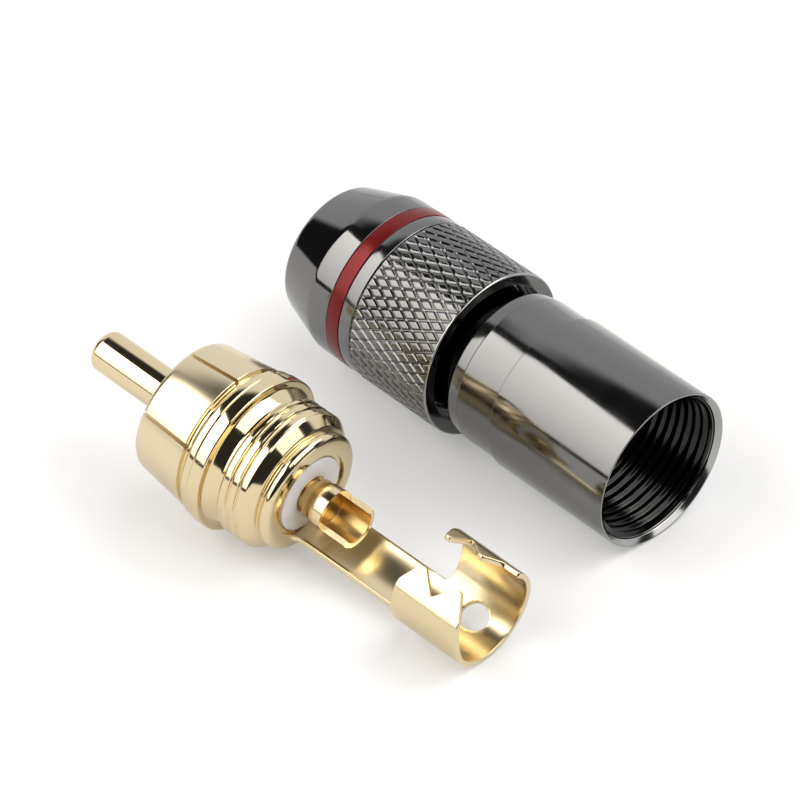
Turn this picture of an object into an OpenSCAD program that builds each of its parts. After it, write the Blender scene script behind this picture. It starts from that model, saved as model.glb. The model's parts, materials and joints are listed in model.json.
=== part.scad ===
// Phono cable plug, unscrewed: the contact half lies beside its shell.
// Millimetres, +Z up. +X runs along the plug, from the cable tail of the shell to its open mouth.

/* [Centre pin] */
// Diameter of the centre pin and of its solder cup
pin_d = 3.2; // [2.8:0.05:3.4]
// Reach of the pin ahead of the ground collar
pin_reach = 8.2; // [7:0.1:12]
// Radius that rounds the tip of the pin
pin_tip_r = 0.9; // [0.3:0.05:1.2]
// Step in radius from the pin down to its shank inside the insulator
shank_step = 0.2; // [0.1:0.05:0.4]
// Step in radius from the pin up to its stop flange behind the insulator
stop_step = 0.1; // [0.05:0.05:0.8]
// Thickness of the stop flange
stop_len = 0.4; // [0.3:0.05:0.8]
// Step in radius from the pin down to the waist between stop flange and solder cup
waist_step = 0.25; // [0.1:0.05:0.45]
// Length of the waist
waist_len = 0.7; // [0.3:0.05:1.5]
// Length of the solder cup
cup_len = 3.5; // [2.5:0.1:5]
// Length of the closed ring at the root of the solder cup
cup_ring_len = 0.8; // [0.4:0.05:1.2]
// Wall of the solder cup
cup_wall = 0.4; // [0.25:0.05:0.6]
// Height of the cup's cut edge above the pin axis
cup_cut = 0.2; // [-0.2:0.05:0.6]

/* [Ground collar] */
// Wall of the collar at its front edge
collar_wall = 1.05; // [0.8:0.05:1.1]
// Growth of the collar's radius from its front edge to the flange
collar_taper = 0.55; // [0.3:0.05:0.6]
// Length of the collar
collar_len = 4.6; // [3.5:0.1:7]
// Bore of the collar, which takes the sleeve of a socket
collar_bore_d = 8.3; // [8:0.05:8.6]
// Depth of that bore from the front edge
collar_bore_len = 6; // [5.4:0.1:6.4]
// Radius that rounds the front edge
collar_nose_r = 0.4; // [0.1:0.05:0.5]
// Width of each lengthwise slit
slit_w = 0.35; // [0.2:0.05:0.6]
// Number of slits
slit_count = 6; // [2:1:8]
// Clock angle of the first slit
slit_clock = 31; // [0:1:59]

/* [Contact body] */
// Width of the groove between collar and flange
groove_w = 0.25; // [0.15:0.05:0.5]
// Depth of that groove
groove_depth = 0.3; // [0.1:0.05:0.5]
// Length of the bevelled bead at the front of the flange
bead_len = 0.85; // [0.5:0.05:1.5]
// Step between the bead and the flange's land
bead_step = 0.12; // [0.05:0.01:0.3]
// Length of the flange's land
land_len = 1.2; // [0.8:0.1:2.5]
// Step in radius from the thread's root down to the plain neck and the thread's relief
neck_step = 0.2; // [0.1:0.05:0.5]
// Length of the plain neck between flange and thread
neck_len = 1.3; // [0.8:0.1:3]
// Turns of thread on the contact body
body_turns = 3; // [2:1:5]
// Length of the thread's relief between thread and end bead
relief_len = 1.05; // [0.6:0.05:2]
// Fall in radius from the thread to the round end bead
end_bead_fall = 0.15; // [0.05:0.05:0.3]
// Length of the round end bead
end_bead_len = 1.1; // [1.05:0.05:2]
// Radius that rounds the bead into the rear rim
end_bead_r = 0.9; // [0.3:0.05:1]
// Lap of the rolled rim over the edge of the clamp's ring
rim_lap = 0.2; // [0.1:0.05:0.3]
// Depth of the rolled rim
rolled_rim_len = 0.7; // [0.3:0.05:0.9]

/* [Thread between body and shell] */
// Depth of the thread
thread_depth = 0.25; // [0.15:0.05:0.35]
// Pitch of the thread
thread_pitch = 0.75; // [0.6:0.05:0.85]
// Radial play between the two threads
thread_play = 0.08; // [0.04:0.01:0.12]

/* [Insulator] */
// Diameter of the insulator in the contact body
insulator_d = 7.2; // [6.4:0.1:7.2]
// Thickness of its front flange in the collar bore
insulator_flange_len = 0.8; // [0.5:0.1:1.2]
// Height of its rear boss inside the clamp's ring
boss_len = 0.3; // [0.1:0.05:0.35]
// Gap around that boss
boss_gap = 0.05; // [0.03:0.01:0.1]
// Radial gap left at each pressed-in seat
seat_gap = 0.02; // [0.01:0.01:0.04]

/* [Cable clamp] */
// Thickness of the clamp's sheet
sheet_t = 0.4; // [0.3:0.05:0.5]
// Step in radius from the insulator up to the clamp's ring
ring_seat_step = 0.05; // [0.05:0.05:0.15]
// Width of the ring from its edge to its hole
clamp_ring_w = 0.7; // [0.65:0.05:0.85]
// Inset of the tongue's outer face from the ring's edge
tongue_inset = 0.35; // [0.3:0.05:0.5]
// Half of the angle that the tongue wraps at its root
tongue_root_half = 44; // [38:1:60]
// Half of the angle that the tongue wraps where it meets the crimp
tongue_half = 34; // [25:1:37]
// Length of the tongue from the ring to the crimp
tongue_len = 11.3; // [8:0.1:15]
// Outer radius of the crimp
crimp_r = 3.75; // [3.4:0.05:3.8]
// Step of the crimp's floor below the tongue's
crimp_step = 0.1; // [0.05:0.01:0.2]
// Length of the crimp along the cable
crimp_len = 5.8; // [5:0.1:8]
// Angle above level at which the crimp's arms turn inward
crease_angle = 33; // [15:1:40]
// Lean of the arms' flaps inward from the run of the arm
flap_lean = 26; // [10:1:40]
// Length of the flaps from crease to tooth tip
flap_len = 2.2; // [1.2:0.1:2.6]
// Depth of the notch between the teeth
tooth_notch = 1.4; // [0.6:0.1:2]
// Diameter of the hole in the crimp's wall
crimp_hole_d = 1.9; // [1:0.1:2.4]
// Angle of that hole from the lowest line of the crimp
crimp_hole_angle = 16; // [-20:1:30]
// Roll of the clamp about the plug's axis
clamp_roll = 15; // [-30:1:30]

/* [Barrel] */
// Outer diameter of the barrel and of the flange that it seats on
barrel_d = 12.2; // [12:0.05:12.6]
// Length of the barrel from mouth to step
barrel_len = 11.05; // [10:0.1:14]
// Step in radius from the barrel down to its neck
barrel_step = 0.2; // [0.15:0.05:0.4]
// Length of the neck from step to shoulder
barrel_neck_len = 4.45; // [3:0.05:6]
// Length of the tapered band at the neck's shoulder
shoulder_band_len = 1; // [0.4:0.1:2]
// Fall in radius over that band
shoulder_band_drop = 0.12; // [0.05:0.01:0.3]
// Wall of the plain mouth
mouth_wall = 0.45; // [0.35:0.05:0.5]
// Bevel of the mouth's outer edge and of the barrel's step
mouth_edge = 0.11; // [0.05:0.01:0.2]
// Step in radius from the mouth down to the root of its thread
mouth_step = 0.12; // [0.05:0.01:0.2]
// Length of the plain mouth
mouth_len = 0.8; // [0.4:0.1:1.4]
// Turns of thread inside the mouth
barrel_turns = 8; // [5:1:9]
// Step in radius from the crest of the thread down to the barrel's bore
bore_step = 0.38; // [0.1:0.01:0.7]
// Wall at the barrel's shoulder, ahead of the spigot bore
shoulder_wall = 1.4; // [0.8:0.1:2.5]
// Length of the spigot
spigot_len = 7.3; // [6.5:0.1:7.6]
// Wall of the spigot
spigot_wall = 0.8; // [0.65:0.05:1]

/* [Tail cap] */
// Open gap between the barrel's shoulder and the grip sleeve
cap_gap = 1.5; // [0.8:0.1:2]
// Radial running clearance of the cap on the spigot and in the colour ring
cap_play = 0.05; // [0.02:0.01:0.1]
// Outer diameter of the grip sleeve
sleeve_d = 13.1; // [12.8:0.05:13.6]
// Wall of the grip sleeve around the spigot
sleeve_wall = 1.6; // [1.5:0.05:1.7]
// Length of the grip sleeve
sleeve_len = 9.05; // [8:0.05:11]
// Radius that rounds the sleeve's lip
lip_r = 0.4; // [0.2:0.05:0.6]
// Width of the lip's flat face inside the rounding
lip_face_w = 0.12; // [0.05:0.01:0.3]
// Depth of the dished bevel inside the lip
dish_depth = 0.35; // [0.1:0.05:0.6]
// Width of the lip in all, from the grip's surface to the dark recess
lip_w = 1; // [0.95:0.05:1.2]
// Depth of the dark recess behind the bevel, from the sleeve's front face
recess_depth = 1.7; // [1:0.1:2.5]
// Length of the smooth land behind the grip
sleeve_land_len = 1.3; // [0.8:0.1:2]
// Depth of the knurled grip's grooves
knurl_depth = 0.22; // [0.1:0.01:0.3]
// Fall of the smooth lands below the grip's surface
land_drop = 0.05; // [0.02:0.01:0.1]
// Width of the colour ring
ring_w = 1.2; // [0.6:0.05:2]
// Fall of the colour ring below the sleeve's surface
ring_fall = 0.03; // [0.01:0.01:0.2]
// Axial clearance at each side of the colour ring
ring_gap = 0.05; // [0.03:0.01:0.12]
// Depth of the tail's plug below the grip's surface, inside sleeve and ring
plug_depth = 1.25; // [1.05:0.05:1.35]
// Length of that plug inside the sleeve
tail_plug_len = 1.4; // [1:0.05:1.45]
// Length of the tail behind the ring
tail_len = 5.85; // [4.5:0.05:9]
// Length of the tail's cylindrical land
tail_land_len = 1.9; // [0.8:0.1:3]
// Fall in radius from the grip's surface to the cable end
tail_fall = 1.35; // [0.8:0.05:1.55]
// Radius that rounds the cable end
tail_edge_r = 0.5; // [0.2:0.05:0.8]
// Wall of the tail at the cable end, around the cable's bore
tail_wall = 1.2; // [1.2:0.05:1.3]
// Wall of the tail's plug at the wide end of the closing cone
plug_wall = 0.45; // [0.4:0.05:0.55]
// Length of the closing cone
closing_cone_len = 3.9; // [3:0.1:4.2]

/* [Cable collet] */
// Fall in radius from the spigot to the collet's seat flange
collet_flange_fall = 0.15; // [0.15:0.05:0.3]
// Thickness of the seat flange
collet_flange_len = 0.4; // [0.3:0.05:0.45]
// Gap between the fingers' roots and the wide end of the closing cone
collet_root_gap = 0.45; // [0.4:0.05:0.55]
// Gap between the fingers' tips and the cable's bore
collet_tip_gap = 0.15; // [0.1:0.01:0.2]
// Wall of the fingers at their tips
collet_wall = 0.45; // [0.35:0.05:0.85]
// Length of the fingers
collet_len = 4.6; // [4:0.1:5]
// Width of the slits between fingers
collet_slit_w = 0.6; // [0.3:0.05:0.8]

/* [Layout] */
// Place of the shell's mouth along X
shell_x = 16.95; // [10:0.05:30]
// Place of the shell's axis along Y
shell_y = 9.45; // [8:0.05:15]
// Place of the collar's front edge along X
contact_x = -10.5; // [-20:0.05:0]
// Place of the collar's front edge along Y
contact_y = -10.45; // [-20:0.05:-8]
// Heading of the contact half about Z
contact_heading = 5; // [0:0.5:15]

/* [Hidden] */
$fn = 96;
// Reach of cutting shapes past the material that they cut
over = 1;
// Points in a rounded edge of a turned profile
round_steps = 8;

// Shares of one pitch over which a thread's ridge rises, stays level and falls
ridge_rise = 0.25;
ridge_top = 0.3;
ridge_fall = 0.25;

// Radii of barrel and body, from the barrel's outside inward
flange_r = barrel_d / 2;
barrel_neck_r = flange_r - barrel_step;
mouth_r = flange_r - mouth_wall;
inner_root_r = mouth_r - mouth_step;
inner_crest_r = inner_root_r - thread_depth;
barrel_bore_r = inner_crest_r - bore_step;
thread_r = inner_root_r - thread_play;
thread_root_r = thread_r - thread_depth;
neck_r = thread_root_r - neck_step;
end_bead_outer_r = thread_r - end_bead_fall;
collar_bore_r = collar_bore_d / 2;
collar_front_r = collar_bore_r + collar_wall;
collar_rear_r = collar_front_r + collar_taper;

// Radii of the pieces inside the body
pin_r = pin_d / 2;
shank_r = pin_r - shank_step;
insulator_r = insulator_d / 2;
clamp_ring_r = insulator_r + ring_seat_step;
clamp_ring_bore_r = clamp_ring_r - clamp_ring_w;
rolled_rim_r = clamp_ring_r - rim_lap;
tongue_r = clamp_ring_r - tongue_inset;
boss_r = tongue_r - sheet_t - boss_gap;

// Radii of the tail cap, from the grip's outside inward
sleeve_r = sleeve_d / 2;
land_r = sleeve_r - land_drop;
spigot_run_r = sleeve_r - sleeve_wall;
spigot_r = spigot_run_r - cap_play;
spigot_bore_r = spigot_r - spigot_wall;
recess_r = sleeve_r - lip_w;
tail_plug_r = sleeve_r - plug_depth;
closing_cone_r = tail_plug_r - plug_wall;
tail_end_r = sleeve_r - tail_fall;
cable_bore_r = tail_end_r - tail_wall;
collet_flange_r = spigot_r - collet_flange_fall;
collet_root_r = closing_cone_r - collet_root_gap;
collet_tip_r = cable_bore_r - collet_tip_gap;
collet_bore_r = collet_tip_r - collet_wall;

// Stations of the contact half along its axis, from the collar's front edge
z_groove = collar_len;
z_bead = z_groove + groove_w;
z_land = z_bead + bead_len;
z_seat = z_land + land_len;
z_thread = z_seat + neck_len;
z_relief = z_thread + body_turns * thread_pitch;
z_end_bead = z_relief + relief_len;
z_rim = z_end_bead + end_bead_len;
z_ring_rear = z_rim - rolled_rim_len;
z_ring = z_ring_rear - sheet_t;
z_insulator = collar_bore_len - insulator_flange_len;
z_boss = z_ring + boss_len;
z_waist = z_boss + stop_len;
z_cup = z_waist + waist_len;
z_cup_end = z_cup + cup_len;
z_crimp = z_ring_rear + tongue_len;
z_crimp_end = z_crimp + crimp_len;
crimp_lift = crimp_r - tongue_r - crimp_step;

// Stations of the shell along its axis, from the mouth towards the tail
s_step = -barrel_len;
s_shoulder = s_step - barrel_neck_len;
s_spigot_end = s_shoulder - spigot_len;
s_lip = s_shoulder - cap_gap;
s_sleeve_end = s_lip - sleeve_len;
s_ring_end = s_sleeve_end - ring_w - 2 * ring_gap;
s_tail_plug = s_sleeve_end + tail_plug_len;
s_tail_land = s_ring_end - tail_land_len;
s_tail_end = s_ring_end - tail_len;
s_collet = s_spigot_end - collet_flange_len;
s_collet_tip = s_collet - collet_len;

// The contact half rests on its flange and on the end of its crimp, the shell on its grip and its mouth
crimp_drop = crimp_r - crimp_lift * cos(clamp_roll);
contact_tilt = atan((flange_r - crimp_drop) / (z_crimp_end - z_seat));
contact_z = flange_r * cos(contact_tilt) + z_seat * sin(contact_tilt);
s_grip = s_lip - lip_r;
shell_tilt = atan((sleeve_r - flange_r) / -s_grip);
shell_z = flange_r * cos(shell_tilt);

function arc(centre, r, from, to) =
    [for (i = [0 : round_steps]) let (a = from + (to - from) * i / round_steps)
        [centre[0] + r * cos(a), centre[1] + r * sin(a)]];

// Rounded ridges of a thread, as rings, from station z onwards in steps of one pitch
function ridges(z, root, crest, turns, pitch) =
    [for (i = [0 : turns - 1]) each
        [[root, z + i * pitch], [crest, z + (i + ridge_rise) * pitch],
         [crest, z + (i + ridge_rise + ridge_top) * pitch],
         [root, z + (i + ridge_rise + ridge_top + ridge_fall) * pitch]]];

// Turns the drawing axis Z into +X, with drawing X across the plug and drawing Y up
module along_x() {
    rotate([90, 0, 90]) children();
}

module place_contact() {
    translate([contact_x, contact_y, contact_z])
        rotate([0, contact_tilt, contact_heading]) along_x() children();
}

module place_shell() {
    translate([shell_x, shell_y, shell_z])
        rotate([0, shell_tilt, 0]) along_x() children();
}

module turned(profile) {
    rotate_extrude() polygon(profile);
}

module contact_body() {
    bead_r = flange_r - bead_step;
    bead_flat = bead_len / 3;
    groove_slope = groove_w / 3;
    nose = [collar_front_r - collar_nose_r, collar_nose_r];
    tail_round = [end_bead_outer_r - end_bead_r, z_rim - end_bead_r];
    color("gold") place_contact() difference() {
        turned(concat(
            [[collar_bore_r, 0]],
            arc(nose, collar_nose_r, -90, 0),
            [[collar_rear_r, z_groove],
             [collar_rear_r - groove_depth, z_groove + groove_slope],
             [collar_rear_r - groove_depth, z_bead],
             [bead_r, z_land - bead_flat], [bead_r, z_land], [flange_r, z_land + bead_step],
             [flange_r, z_seat], [neck_r, z_seat], [neck_r, z_thread]],
            ridges(z_thread, thread_root_r, thread_r, body_turns, thread_pitch),
            [[neck_r, z_relief], [neck_r, z_end_bead]],
            arc(tail_round, end_bead_r, 0, 90),
            [[rolled_rim_r, z_rim], [rolled_rim_r, z_ring_rear + seat_gap],
             [clamp_ring_r + seat_gap, z_ring_rear + seat_gap], [clamp_ring_r + seat_gap, z_ring],
             [insulator_r + seat_gap, z_ring], [insulator_r + seat_gap, collar_bore_len],
             [collar_bore_r, collar_bore_len]]));
        for (i = [0 : slit_count - 1])
            rotate(slit_clock + i * 360 / slit_count)
                translate([0, -slit_w / 2, -over])
                    cube([barrel_d, slit_w, z_groove + groove_w / 2 + over]);
    }
}

module insulator() {
    bore_r = shank_r + seat_gap;
    color("white") place_contact() turned([
        [bore_r, z_insulator], [collar_bore_r - seat_gap, z_insulator],
        [collar_bore_r - seat_gap, collar_bore_len], [insulator_r, collar_bore_len],
        [insulator_r, z_ring], [boss_r, z_ring], [boss_r, z_boss], [bore_r, z_boss]]);
}

module centre_pin() {
    stop_r = pin_r + stop_step;
    waist_r = pin_r - waist_step;
    tip = [pin_r - pin_tip_r, pin_tip_r - pin_reach];
    bore_r = pin_r - cup_wall;
    color("gold") place_contact() difference() {
        turned(concat(
            [[0, -pin_reach]],
            arc(tip, pin_tip_r, -90, 0),
            [[pin_r, z_insulator], [shank_r, z_insulator], [shank_r, z_boss],
             [stop_r, z_boss], [stop_r, z_waist], [waist_r, z_waist], [waist_r, z_cup],
             [pin_r, z_cup], [pin_r, z_cup_end],
             [bore_r, z_cup_end], [bore_r, z_cup + cup_ring_len / 2], [0, z_cup + cup_ring_len / 2]]));
        translate([-pin_d, cup_cut, z_cup + cup_ring_len]) cube([2 * pin_d, pin_d, cup_len]);
    }
}

// Part of a round sheet that wraps the angle half to each side of the lowest line
module wrapped_sheet(r, half) {
    reach = 2 * r;
    intersection() {
        difference() {
            circle(r);
            circle(r - sheet_t);
        }
        polygon([[0, 0], [-reach * tan(half), -reach], [reach * tan(half), -reach]]);
    }
}

// Wall of the crimp, open at the top between its two creases
module crimp_wall() {
    reach = 2 * crimp_r;
    difference() {
        circle(crimp_r);
        circle(crimp_r - sheet_t);
        polygon([[0, 0], [reach * cos(crease_angle), reach * sin(crease_angle)], [reach, 2 * reach],
                 [-reach, 2 * reach], [-reach * cos(crease_angle), reach * sin(crease_angle)]]);
    }
}

// Outline of a flap with two teeth and a notch, drawn with the crease along X and set back at both ends
module tooth_outline() {
    tooth = crimp_len / 6;
    back = sheet_t / 4;
    polygon([[back, -over], [crimp_len - back, -over], [crimp_len - back, sheet_t],
             [crimp_len - tooth, flap_len], [crimp_len - 2 * tooth, flap_len],
             [crimp_len / 2, flap_len - tooth_notch], [2 * tooth, flap_len], [tooth, flap_len],
             [back, sheet_t]]);
}

// Flap that leans inward from the wall's edge, with its root inside the wall and its teeth cut along the edge
module crimp_arm(side) {
    inset = sheet_t / 8;
    inner_root = sheet_t * (tan(flap_lean) - 1);
    mirror([side < 0 ? 1 : 0, 0, 0])
        rotate(crease_angle) translate([crimp_r - inset, 0, 0]) rotate(flap_lean)
            intersection() {
                linear_extrude(crimp_len)
                    polygon([[0, -1.5 * inset], [0, flap_len + over], [-sheet_t, flap_len + over],
                             [-sheet_t, inner_root]]);
                translate([over, 0, 0]) rotate([0, -90, 0]) linear_extrude(3 * over) tooth_outline();
            }
}

module cable_clamp() {
    hole_r = crimp_hole_d / 2;
    color("gold") place_contact() rotate(clamp_roll) {
        translate([0, 0, z_ring]) linear_extrude(sheet_t) difference() {
            circle(clamp_ring_r);
            circle(clamp_ring_bore_r);
        }
        translate([0, 0, z_ring]) linear_extrude(2 * sheet_t) wrapped_sheet(tongue_r, tongue_root_half);
        translate([0, 0, z_ring]) linear_extrude(z_crimp - z_ring + sheet_t)
            wrapped_sheet(tongue_r, tongue_half);
        translate([0, crimp_lift, z_crimp]) difference() {
            union() {
                linear_extrude(crimp_len) crimp_wall();
                crimp_arm(1);
                crimp_arm(-1);
            }
            translate([0, 0, crimp_len / 2])
                rotate(crimp_hole_angle) rotate([90, 0, 0]) cylinder(h = 2 * crimp_r, r = hole_r);
        }
    }
}

module barrel() {
    s_thread = -mouth_len - barrel_turns * thread_pitch;
    color("dimgray") place_shell() turned(concat(
        [[mouth_r, 0], [flange_r - mouth_edge, 0], [flange_r, -mouth_edge], [flange_r, s_step],
         [barrel_neck_r, s_step - mouth_edge], [barrel_neck_r, s_shoulder + shoulder_band_len],
         [barrel_neck_r - shoulder_band_drop, s_shoulder], [spigot_r, s_shoulder],
         [spigot_r, s_spigot_end], [spigot_bore_r, s_spigot_end],
         [spigot_bore_r, s_shoulder + shoulder_wall],
         [barrel_bore_r, s_shoulder + shoulder_wall], [barrel_bore_r, s_thread]],
        ridges(s_thread, inner_root_r, inner_crest_r, barrel_turns, thread_pitch),
        [[mouth_r, -mouth_len]]));
}

module cable_collet() {
    color("ivory") place_shell() difference() {
        turned([
            [collet_bore_r, s_spigot_end], [collet_flange_r, s_spigot_end],
            [collet_flange_r, s_collet], [collet_root_r, s_collet],
            [collet_tip_r, s_collet_tip], [collet_bore_r, s_collet_tip]]);
        for (i = [0, 1])
            rotate(i * 90) translate([-sleeve_r, -collet_slit_w / 2, s_collet_tip - over])
                cube([sleeve_d, collet_slit_w, collet_len + over]);
    }
}

module grip_sleeve() {
    lip = [sleeve_r - lip_r, s_lip - lip_r];
    lip_inner = sleeve_r - lip_r - lip_face_w;
    s_grip_end = s_sleeve_end + sleeve_land_len;
    color("dimgray") place_shell() turned(concat(
        arc(lip, lip_r, 90, 0),
        [[sleeve_r, s_grip_end], [sleeve_r - knurl_depth, s_grip_end],
         [land_r, s_grip_end - knurl_depth], [land_r, s_sleeve_end],
         [tail_plug_r + seat_gap, s_sleeve_end], [tail_plug_r + seat_gap, s_tail_plug],
         [spigot_run_r, s_tail_plug], [spigot_run_r, s_lip - recess_depth],
         [recess_r, s_lip - recess_depth], [recess_r, s_lip - dish_depth], [lip_inner, s_lip]]));
}

module colour_ring() {
    color("firebrick") place_shell() turned([
        [tail_plug_r + cap_play, s_sleeve_end - ring_gap],
        [sleeve_r - ring_fall, s_sleeve_end - ring_gap],
        [sleeve_r - ring_fall, s_ring_end + ring_gap],
        [tail_plug_r + cap_play, s_ring_end + ring_gap]]);
}

module tail_cone() {
    end_round = [tail_end_r - tail_edge_r, s_tail_end + tail_edge_r];
    s_cone_end = s_tail_plug - closing_cone_len;
    color("dimgray") place_shell() turned(concat(
        [[closing_cone_r, s_tail_plug], [tail_plug_r, s_tail_plug], [tail_plug_r, s_ring_end],
         [land_r, s_ring_end], [land_r, s_tail_land]],
        arc(end_round, tail_edge_r, 0, -90),
        [[cable_bore_r, s_tail_end], [cable_bore_r, s_cone_end]]));
}

contact_body();
insulator();
centre_pin();
cable_clamp();
barrel();
cable_collet();
grip_sleeve();
colour_ring();
tail_cone();
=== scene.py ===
import json
import math

import bmesh
import bpy
from mathutils import Matrix, Vector
from mathutils.geometry import delaunay_2d_cdt


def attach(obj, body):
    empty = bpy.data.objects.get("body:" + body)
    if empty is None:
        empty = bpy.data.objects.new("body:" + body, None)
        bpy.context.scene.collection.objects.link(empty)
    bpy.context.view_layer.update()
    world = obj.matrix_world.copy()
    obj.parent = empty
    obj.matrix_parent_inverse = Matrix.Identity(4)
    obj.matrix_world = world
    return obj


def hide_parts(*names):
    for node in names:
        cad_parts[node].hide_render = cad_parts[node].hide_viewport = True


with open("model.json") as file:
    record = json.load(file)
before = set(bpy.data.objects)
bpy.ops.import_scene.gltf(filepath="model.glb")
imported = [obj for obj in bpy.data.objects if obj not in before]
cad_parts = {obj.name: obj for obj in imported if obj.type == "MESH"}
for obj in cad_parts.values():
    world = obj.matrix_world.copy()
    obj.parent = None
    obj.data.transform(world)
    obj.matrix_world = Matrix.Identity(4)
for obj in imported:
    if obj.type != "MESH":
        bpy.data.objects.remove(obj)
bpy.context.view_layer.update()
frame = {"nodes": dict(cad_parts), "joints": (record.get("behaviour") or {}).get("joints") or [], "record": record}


# Contact body
# A turned brass body with a slit ground collar, a flange, a plain neck and a coarse rounded thread.
# It is gold plated all over, and its rear rim is rolled over the ring of the cable clamp.
MM = 0.001
mounts = {mount["name"]: mount for mount in frame["record"]["mounts"]}


def lying_along(point, axis):
    """Place of a turned piece: its own X along the axis, Y level and away from the camera, Z upright."""
    along = Vector(axis).normalized()
    level = Vector((0, 0, 1)).cross(along).normalized()
    upright = along.cross(level)
    place = Matrix((along, level, upright)).transposed().to_4x4()
    place.translation = point
    return place


# The pin's mount lies 1.05 mm ahead of the collar's front edge, which is station 0 of the contact half
PIN_MOUNT_AHEAD = 1.05
contact_axis = -Vector(mounts["centre_pin"]["axis"])
collar_front = Vector(mounts["centre_pin"]["pos_m"]) + PIN_MOUNT_AHEAD * MM * contact_axis
contact_place = lying_along(collar_front, contact_axis)

# The largest share of an outline's side that the rounding of one corner takes
CORNER_SHARE = 0.45


def softened(outline, steps=4):
    """Rounds each corner of an outline of (station, radius, corner radius) points, all in millimetres."""
    soft = []
    count = len(outline)
    for i, (x, r, corner) in enumerate(outline):
        here = Vector((x, r))
        if corner == 0:
            soft.append(here)
            continue
        before = Vector(outline[i - 1][:2]) - here
        after = Vector(outline[(i + 1) % count][:2]) - here
        enter = here + before * min(corner / before.length, CORNER_SHARE)
        leave = here + after * min(corner / after.length, CORNER_SHARE)
        for k in range(steps + 1):
            t = k / steps
            soft.append(enter * (1 - t) ** 2 + here * 2 * t * (1 - t) + leave * t * t)
    return soft


def stretch(start, end, radius, step):
    """Sharp outline points at an even step along a straight stretch of an outline."""
    count = max(2, round(abs(end - start) / step))
    return [(start + (end - start) * k / count, radius, 0) for k in range(count + 1)]


def arc_points(centre, across, along, first, last, count=10):
    """Sharp outline points along a quarter of an ellipse, from one angle to another in degrees."""
    angles = [math.radians(first + (last - first) * k / count) for k in range(count + 1)]
    return [(centre[0] + along * math.sin(a), centre[1] + across * math.cos(a), 0) for a in angles]


# Points of a turned mesh that lie nearer than this, in metres, are one point
WELD = 1e-7


def turned(name, outline, steps, shape=None):
    """Mesh of a closed outline turned about X. A thread or knurl has a shape, which moves each radius."""
    shell = bmesh.new()
    rings = []
    for k in range(steps):
        angle = 2 * math.pi * k / steps
        ring = []
        for x, r in outline:
            radius = shape(x, r, angle) if shape else r
            spot = Vector((x, -radius * math.cos(angle), radius * math.sin(angle))) * MM
            ring.append(shell.verts.new(spot))
        rings.append(ring)
    count = len(outline)
    for k in range(steps):
        this, following = rings[k], rings[(k + 1) % steps]
        for i in range(count):
            j = (i + 1) % count
            if outline[i][1] == 0 and outline[j][1] == 0:
                continue
            shell.faces.new((this[i], this[j], following[j], following[i]))
    bmesh.ops.remove_doubles(shell, verts=shell.verts, dist=WELD)
    bmesh.ops.dissolve_degenerate(shell, edges=shell.edges, dist=WELD / 10)
    bmesh.ops.recalc_face_normals(shell, faces=shell.faces)
    mesh = bpy.data.meshes.new(name)
    shell.to_mesh(mesh)
    shell.free()
    return mesh


def slab(angle, inner, outer, width, start, end):
    """Corners of a flat slab that stands radially at a clock angle, from inner to outer radius."""
    out = Vector((0, -math.cos(angle), math.sin(angle)))
    side = Vector((0, math.sin(angle), math.cos(angle)))
    along = Vector((1, 0, 0))
    return [along * x + out * r + side * w for x in (start, end) for r in (inner, outer)
            for w in (-width / 2, width / 2)]


def carved(mesh, slabs):
    """Cuts slabs, each a list of eight corners in millimetres, out of a closed mesh."""
    tool = bmesh.new()
    for corners in slabs:
        bmesh.ops.convex_hull(tool, input=[tool.verts.new(corner * MM) for corner in corners])
    bmesh.ops.recalc_face_normals(tool, faces=tool.faces)
    tool_mesh = bpy.data.meshes.new("cutter")
    tool.to_mesh(tool_mesh)
    tool.free()
    blank = bpy.data.objects.new("blank", mesh)
    cutter = bpy.data.objects.new("cutter", tool_mesh)
    for item in (blank, cutter):
        bpy.context.scene.collection.objects.link(item)
    cut = blank.modifiers.new("cut", "BOOLEAN")
    cut.object = cutter
    cut.operation = "DIFFERENCE"
    cut.solver = "EXACT"
    graph = bpy.context.evaluated_depsgraph_get()
    result = bpy.data.meshes.new_from_object(blank.evaluated_get(graph))
    for item in (blank, cutter):
        bpy.data.objects.remove(item)
    return result


def finished(name, mesh, place, body, replaced, sharp=32):
    """Smooth shading with crisp edges, then the piece joins its body and the CAD part that it replaces is hidden.
    """
    mesh.polygons.foreach_set("use_smooth", [True] * len(mesh.polygons))
    mesh.set_sharp_from_angle(angle=math.radians(sharp))
    piece = bpy.data.objects.new(name, mesh)
    bpy.context.scene.collection.objects.link(piece)
    piece.matrix_world = place
    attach(piece, body)
    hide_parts(replaced)
    return piece


def coated(piece, material):
    """Gives a piece its finish in place of the frame's plain colour."""
    piece.data.materials.clear()
    piece.data.materials.append(material)


# Stations along the axis and radii, from the collar to the rear rim and back through the bore
COLLAR_BORE_R = 4.15
COLLAR_FRONT_R = 5.2
COLLAR_REAR_R = 5.75
COLLAR_END = 4.6
GROOVE_START = 4.68
GROOVE_END = 4.87
GROOVE_R = 5.42
BEAD_START = 5.27
BEAD_R = 5.98
BEAD_CREST = 5.77
BEAD_CREST_R = 5.99
BEAD_FOOT = 5.84
BEAD_FOOT_R = 5.92
FLANGE_START = 5.93
FLANGE_END = 6.9
FLANGE_R = 6.1
NECK_FRONT_R = 5.5
NECK_START = 7.75
NECK_END = 8.0
NECK_R = 5.06
THREAD_FOOT = 8.2
THREAD_START = 8.3
THREAD_END = 10.2
THREAD_TAIL = 10.32
THREAD_EDGE_R = 5.37
THREAD_R = 5.43
THREAD_DEPTH = 0.2
THREAD_PITCH = 0.75
THREAD_PHASE = 8.91
THREAD_FADE = 0.3
THREAD_SAMPLES = 24
GROOVE_POWER = 1.5
RELIEF_START = 10.98
RELIEF_EDGE_R = 4.82
RELIEF_FLOOR = 11.1
RELIEF_END = 11.22
RELIEF_R = 4.46
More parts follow.
